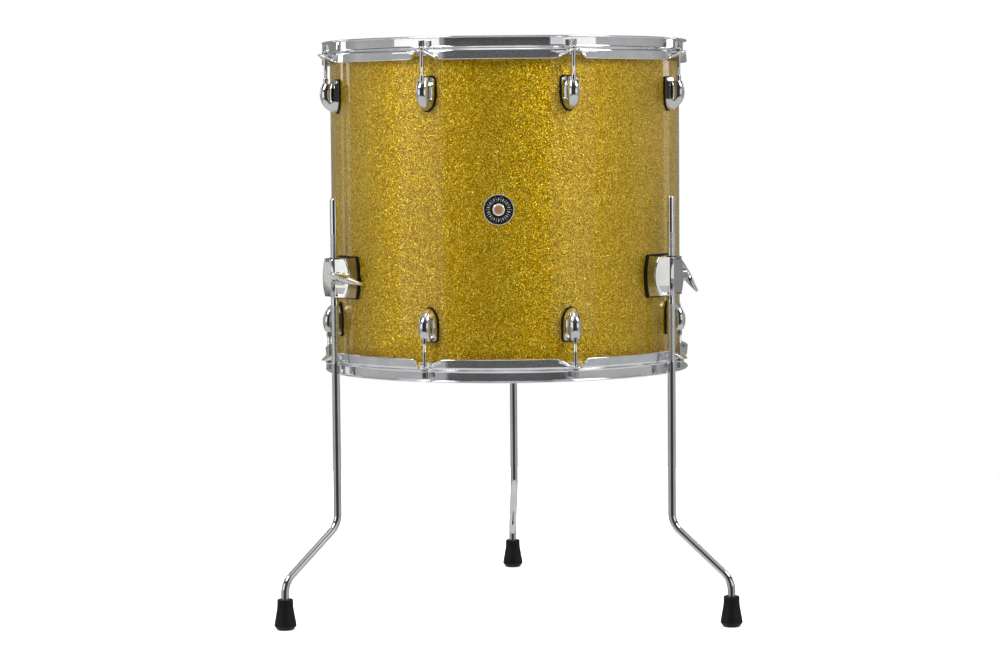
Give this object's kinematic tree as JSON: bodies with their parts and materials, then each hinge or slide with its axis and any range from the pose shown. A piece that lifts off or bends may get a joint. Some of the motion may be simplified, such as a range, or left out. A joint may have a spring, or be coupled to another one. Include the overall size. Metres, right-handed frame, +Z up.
{
  "type": "floor tom drum",
  "caption": "Floor tom drum: sparkle-wrapped wooden shell, flanged steel hoops and heads at both ends, lugs, and height-adjustable bent legs in clamp brackets.",
  "frame": {"origin": "on the drum's axis at floor level, the centre of the circle that the three feet stand on", "axes": "+Z up along the drum's axis towards the batter head; -Y towards the badge and vent, the front; +X to the right seen from the front"},
  "size_m": [0.5912, 0.577, 0.742],
  "materials": {
    "shell_wood": "clear sealed maple-like plywood",
    "sparkle_wrap": "gold sparkle under clear gloss",
    "badge_enamel": "black enamel, polished rim",
    "bright_metal": "polished",
    "gasket_rubber": "matt",
    "foot_rubber": "satin moulded",
    "flesh_aluminium": "satin",
    "coated_film": "white textured coating",
    "clear_film": "translucent gloss",
    "nylon": "matt",
    "screw_steel": "zinc plated",
    "leg_chrome": "polished, knurled bands",
    "rod_steel": "polished, threaded",
    "hoop_chrome": "mirror polish",
    "cast_chrome": "mirror polish"
  },
  "bodies": {
    "drum_shell": {"shell": "shell_wood", "wrap": "sparkle_wrap", "badge": "badge_enamel", "vent_eyelet": "bright_metal", "vent_washer": "bright_metal", "upper_lugs": "cast_chrome", "lower_lugs": "cast_chrome", "lug_gaskets": "gasket_rubber", "lug_nuts": "screw_steel", "lug_screws": "screw_steel", "lug_washers": "screw_steel", "leg_bracket_1": "cast_chrome", "leg_bracket_2": "cast_chrome", "leg_bracket_3": "cast_chrome", "bracket_gaskets": "gasket_rubber", "bracket_screws": "screw_steel", "bracket_washers": "screw_steel"},
    "batter_rim": {"batter_hoop": "hoop_chrome", "batter_flesh_hoop": "flesh_aluminium", "batter_head": "coated_film", "upper_rod_washers": "bright_metal"},
    "resonant_rim": {"resonant_hoop": "hoop_chrome", "resonant_flesh_hoop": "flesh_aluminium", "resonant_head": "clear_film", "lower_rod_washers": "bright_metal"},
    "upper_rod_1": {"upper_rod_1": "rod_steel"},
    "upper_rod_2": {"upper_rod_2": "rod_steel"},
    "upper_rod_3": {"upper_rod_3": "rod_steel"},
    "upper_rod_4": {"upper_rod_4": "rod_steel"},
    "upper_rod_5": {"upper_rod_5": "rod_steel"},
    "upper_rod_6": {"upper_rod_6": "rod_steel"},
    "upper_rod_7": {"upper_rod_7": "rod_steel"},
    "upper_rod_8": {"upper_rod_8": "rod_steel"},
    "lower_rod_1": {"lower_rod_1": "rod_steel"},
    "lower_rod_2": {"lower_rod_2": "rod_steel"},
    "lower_rod_3": {"lower_rod_3": "rod_steel"},
    "lower_rod_4": {"lower_rod_4": "rod_steel"},
    "lower_rod_5": {"lower_rod_5": "rod_steel"},
    "lower_rod_6": {"lower_rod_6": "rod_steel"},
    "lower_rod_7": {"lower_rod_7": "rod_steel"},
    "lower_rod_8": {"lower_rod_8": "rod_steel"},
    "leg_sleeve_1": {"leg_sleeve_1": "nylon"},
    "leg_1": {"leg_1": "leg_chrome", "foot_1": "foot_rubber"},
    "wing_bolt_1": {"wing_bolt_1": "cast_chrome"},
    "clamp_pad_1": {"clamp_pad_1": "nylon"},
    "leg_sleeve_2": {"leg_sleeve_2": "nylon"},
    "leg_2": {"leg_2": "leg_chrome", "foot_2": "foot_rubber"},
    "wing_bolt_2": {"wing_bolt_2": "cast_chrome"},
    "clamp_pad_2": {"clamp_pad_2": "nylon"},
    "leg_sleeve_3": {"leg_sleeve_3": "nylon"},
    "leg_3": {"leg_3": "leg_chrome", "foot_3": "foot_rubber"},
    "wing_bolt_3": {"wing_bolt_3": "cast_chrome"},
    "clamp_pad_3": {"clamp_pad_3": "nylon"}
  },
  "joints": [
    {"name": "batter_tension", "type": "slide", "parent": "drum_shell", "child": "batter_rim", "axis": [0, 0, 1], "range_m": [0, 0.006]},
    {"name": "resonant_tension", "type": "slide", "parent": "drum_shell", "child": "resonant_rim", "axis": [0, 0, -1], "range_m": [0, 0.006]},
    {"name": "upper_rod_1_turn", "type": "hinge", "parent": "batter_rim", "child": "upper_rod_1", "pos_m": [0.09284, -0.22413, 0.726], "axis": [0, 0, 1], "range_deg": [0, 2044]},
    {"name": "upper_rod_2_turn", "type": "hinge", "parent": "batter_rim", "child": "upper_rod_2", "pos_m": [0.22413, -0.09284, 0.726], "axis": [0, 0, 1], "range_deg": [0, 2044]},
    {"name": "upper_rod_3_turn", "type": "hinge", "parent": "batter_rim", "child": "upper_rod_3", "pos_m": [0.22413, 0.09284, 0.726], "axis": [0, 0, 1], "range_deg": [0, 2044]},
    {"name": "upper_rod_4_turn", "type": "hinge", "parent": "batter_rim", "child": "upper_rod_4", "pos_m": [0.09284, 0.22413, 0.726], "axis": [0, 0, 1], "range_deg": [0, 2044]},
    {"name": "upper_rod_5_turn", "type": "hinge", "parent": "batter_rim", "child": "upper_rod_5", "pos_m": [-0.09284, 0.22413, 0.726], "axis": [0, 0, 1], "range_deg": [0, 2044]},
    {"name": "upper_rod_6_turn", "type": "hinge", "parent": "batter_rim", "child": "upper_rod_6", "pos_m": [-0.22413, 0.09284, 0.726], "axis": [0, 0, 1], "range_deg": [0, 2044]},
    {"name": "upper_rod_7_turn", "type": "hinge", "parent": "batter_rim", "child": "upper_rod_7", "pos_m": [-0.22413, -0.09284, 0.726], "axis": [0, 0, 1], "range_deg": [0, 2044]},
    {"name": "upper_rod_8_turn", "type": "hinge", "parent": "batter_rim", "child": "upper_rod_8", "pos_m": [-0.09284, -0.22413, 0.726], "axis": [0, 0, 1], "range_deg": [0, 2044]},
    {"name": "lower_rod_1_turn", "type": "hinge", "parent": "resonant_rim", "child": "lower_rod_1", "pos_m": [0.09284, -0.22413, 0.333], "axis": [0, 0, -1], "range_deg": [0, 2044]},
    {"name": "lower_rod_2_turn", "type": "hinge", "parent": "resonant_rim", "child": "lower_rod_2", "pos_m": [0.22413, -0.09284, 0.333], "axis": [0, 0, -1], "range_deg": [0, 2044]},
    {"name": "lower_rod_3_turn", "type": "hinge", "parent": "resonant_rim", "child": "lower_rod_3", "pos_m": [0.22413, 0.09284, 0.333], "axis": [0, 0, -1], "range_deg": [0, 2044]},
    {"name": "lower_rod_4_turn", "type": "hinge", "parent": "resonant_rim", "child": "lower_rod_4", "pos_m": [0.09284, 0.22413, 0.333], "axis": [0, 0, -1], "range_deg": [0, 2044]},
    {"name": "lower_rod_5_turn", "type": "hinge", "parent": "resonant_rim", "child": "lower_rod_5", "pos_m": [-0.09284, 0.22413, 0.333], "axis": [0, 0, -1], "range_deg": [0, 2044]},
    {"name": "lower_rod_6_turn", "type": "hinge", "parent": "resonant_rim", "child": "lower_rod_6", "pos_m": [-0.22413, 0.09284, 0.333], "axis": [0, 0, -1], "range_deg": [0, 2044]},
    {"name": "lower_rod_7_turn", "type": "hinge", "parent": "resonant_rim", "child": "lower_rod_7", "pos_m": [-0.22413, -0.09284, 0.333], "axis": [0, 0, -1], "range_deg": [0, 2044]},
    {"name": "lower_rod_8_turn", "type": "hinge", "parent": "resonant_rim", "child": "lower_rod_8", "pos_m": [-0.09284, -0.22413, 0.333], "axis": [0, 0, -1], "range_deg": [0, 2044]},
    {"name": "leg_1_turn", "type": "hinge", "parent": "drum_shell", "child": "leg_sleeve_1", "pos_m": [-0.21304, -0.123, 0.442], "axis": [0, 0, 1], "range_deg": [-180, 180]},
    {"name": "leg_1_height", "type": "slide", "parent": "leg_sleeve_1", "child": "leg_1", "axis": [0, 0, 1], "range_m": [-0.06, 0.16]},
    {"name": "wing_bolt_1_turn", "type": "hinge", "parent": "clamp_pad_1", "child": "wing_bolt_1", "pos_m": [-0.21477, -0.124, 0.442], "axis": [0.5, -0.866, 0], "range_deg": [0, 810]},
    {"name": "clamp_pad_1_slide", "type": "slide", "parent": "drum_shell", "child": "clamp_pad_1", "axis": [0.5, -0.866, 0], "range_m": [0, 0.0028]},
    {"name": "leg_2_turn", "type": "hinge", "parent": "drum_shell", "child": "leg_sleeve_2", "pos_m": [0.21304, -0.123, 0.442], "axis": [0, 0, 1], "range_deg": [-180, 180]},
    {"name": "leg_2_height", "type": "slide", "parent": "leg_sleeve_2", "child": "leg_2", "axis": [0, 0, 1], "range_m": [-0.06, 0.16]},
    {"name": "wing_bolt_2_turn", "type": "hinge", "parent": "clamp_pad_2", "child": "wing_bolt_2", "pos_m": [0.21477, -0.124, 0.442], "axis": [0.5, 0.866, 0], "range_deg": [0, 810]},
    {"name": "clamp_pad_2_slide", "type": "slide", "parent": "drum_shell", "child": "clamp_pad_2", "axis": [0.5, 0.866, 0], "range_m": [0, 0.0028]},
    {"name": "leg_3_turn", "type": "hinge", "parent": "drum_shell", "child": "leg_sleeve_3", "pos_m": [0, 0.246, 0.442], "axis": [0, 0, 1], "range_deg": [-180, 180]},
    {"name": "leg_3_height", "type": "slide", "parent": "leg_sleeve_3", "child": "leg_3", "axis": [0, 0, 1], "range_m": [-0.06, 0.16]},
    {"name": "wing_bolt_3_turn", "type": "hinge", "parent": "clamp_pad_3", "child": "wing_bolt_3", "pos_m": [0, 0.248, 0.442], "axis": [-1, 0, 0], "range_deg": [0, 810]},
    {"name": "clamp_pad_3_slide", "type": "slide", "parent": "drum_shell", "child": "clamp_pad_3", "axis": [-1, 0, 0], "range_m": [0, 0.0028]}
  ],
  "couplings": [
    {"joint": "upper_rod_1_turn", "follows": "batter_tension", "rad_per_m": 5938.7},
    {"joint": "upper_rod_2_turn", "follows": "batter_tension", "rad_per_m": 5938.7},
    {"joint": "upper_rod_3_turn", "follows": "batter_tension", "rad_per_m": 5938.7},
    {"joint": "upper_rod_4_turn", "follows": "batter_tension", "rad_per_m": 5938.7},
    {"joint": "upper_rod_5_turn", "follows": "batter_tension", "rad_per_m": 5938.7},
    {"joint": "upper_rod_6_turn", "follows": "batter_tension", "rad_per_m": 5938.7},
    {"joint": "upper_rod_7_turn", "follows": "batter_tension", "rad_per_m": 5938.7},
    {"joint": "upper_rod_8_turn", "follows": "batter_tension", "rad_per_m": 5938.7},
    {"joint": "lower_rod_1_turn", "follows": "resonant_tension", "rad_per_m": 5938.7},
    {"joint": "lower_rod_2_turn", "follows": "resonant_tension", "rad_per_m": 5938.7},
    {"joint": "lower_rod_3_turn", "follows": "resonant_tension", "rad_per_m": 5938.7},
    {"joint": "lower_rod_4_turn", "follows": "resonant_tension", "rad_per_m": 5938.7},
    {"joint": "lower_rod_5_turn", "follows": "resonant_tension", "rad_per_m": 5938.7},
    {"joint": "lower_rod_6_turn", "follows": "resonant_tension", "rad_per_m": 5938.7},
    {"joint": "lower_rod_7_turn", "follows": "resonant_tension", "rad_per_m": 5938.7},
    {"joint": "lower_rod_8_turn", "follows": "resonant_tension", "rad_per_m": 5938.7},
    {"joint": "wing_bolt_1_turn", "follows": "clamp_pad_1_slide", "rad_per_m": 5026.5},
    {"joint": "wing_bolt_2_turn", "follows": "clamp_pad_2_slide", "rad_per_m": 5026.5},
    {"joint": "wing_bolt_3_turn", "follows": "clamp_pad_3_slide", "rad_per_m": 5026.5}
  ]
}
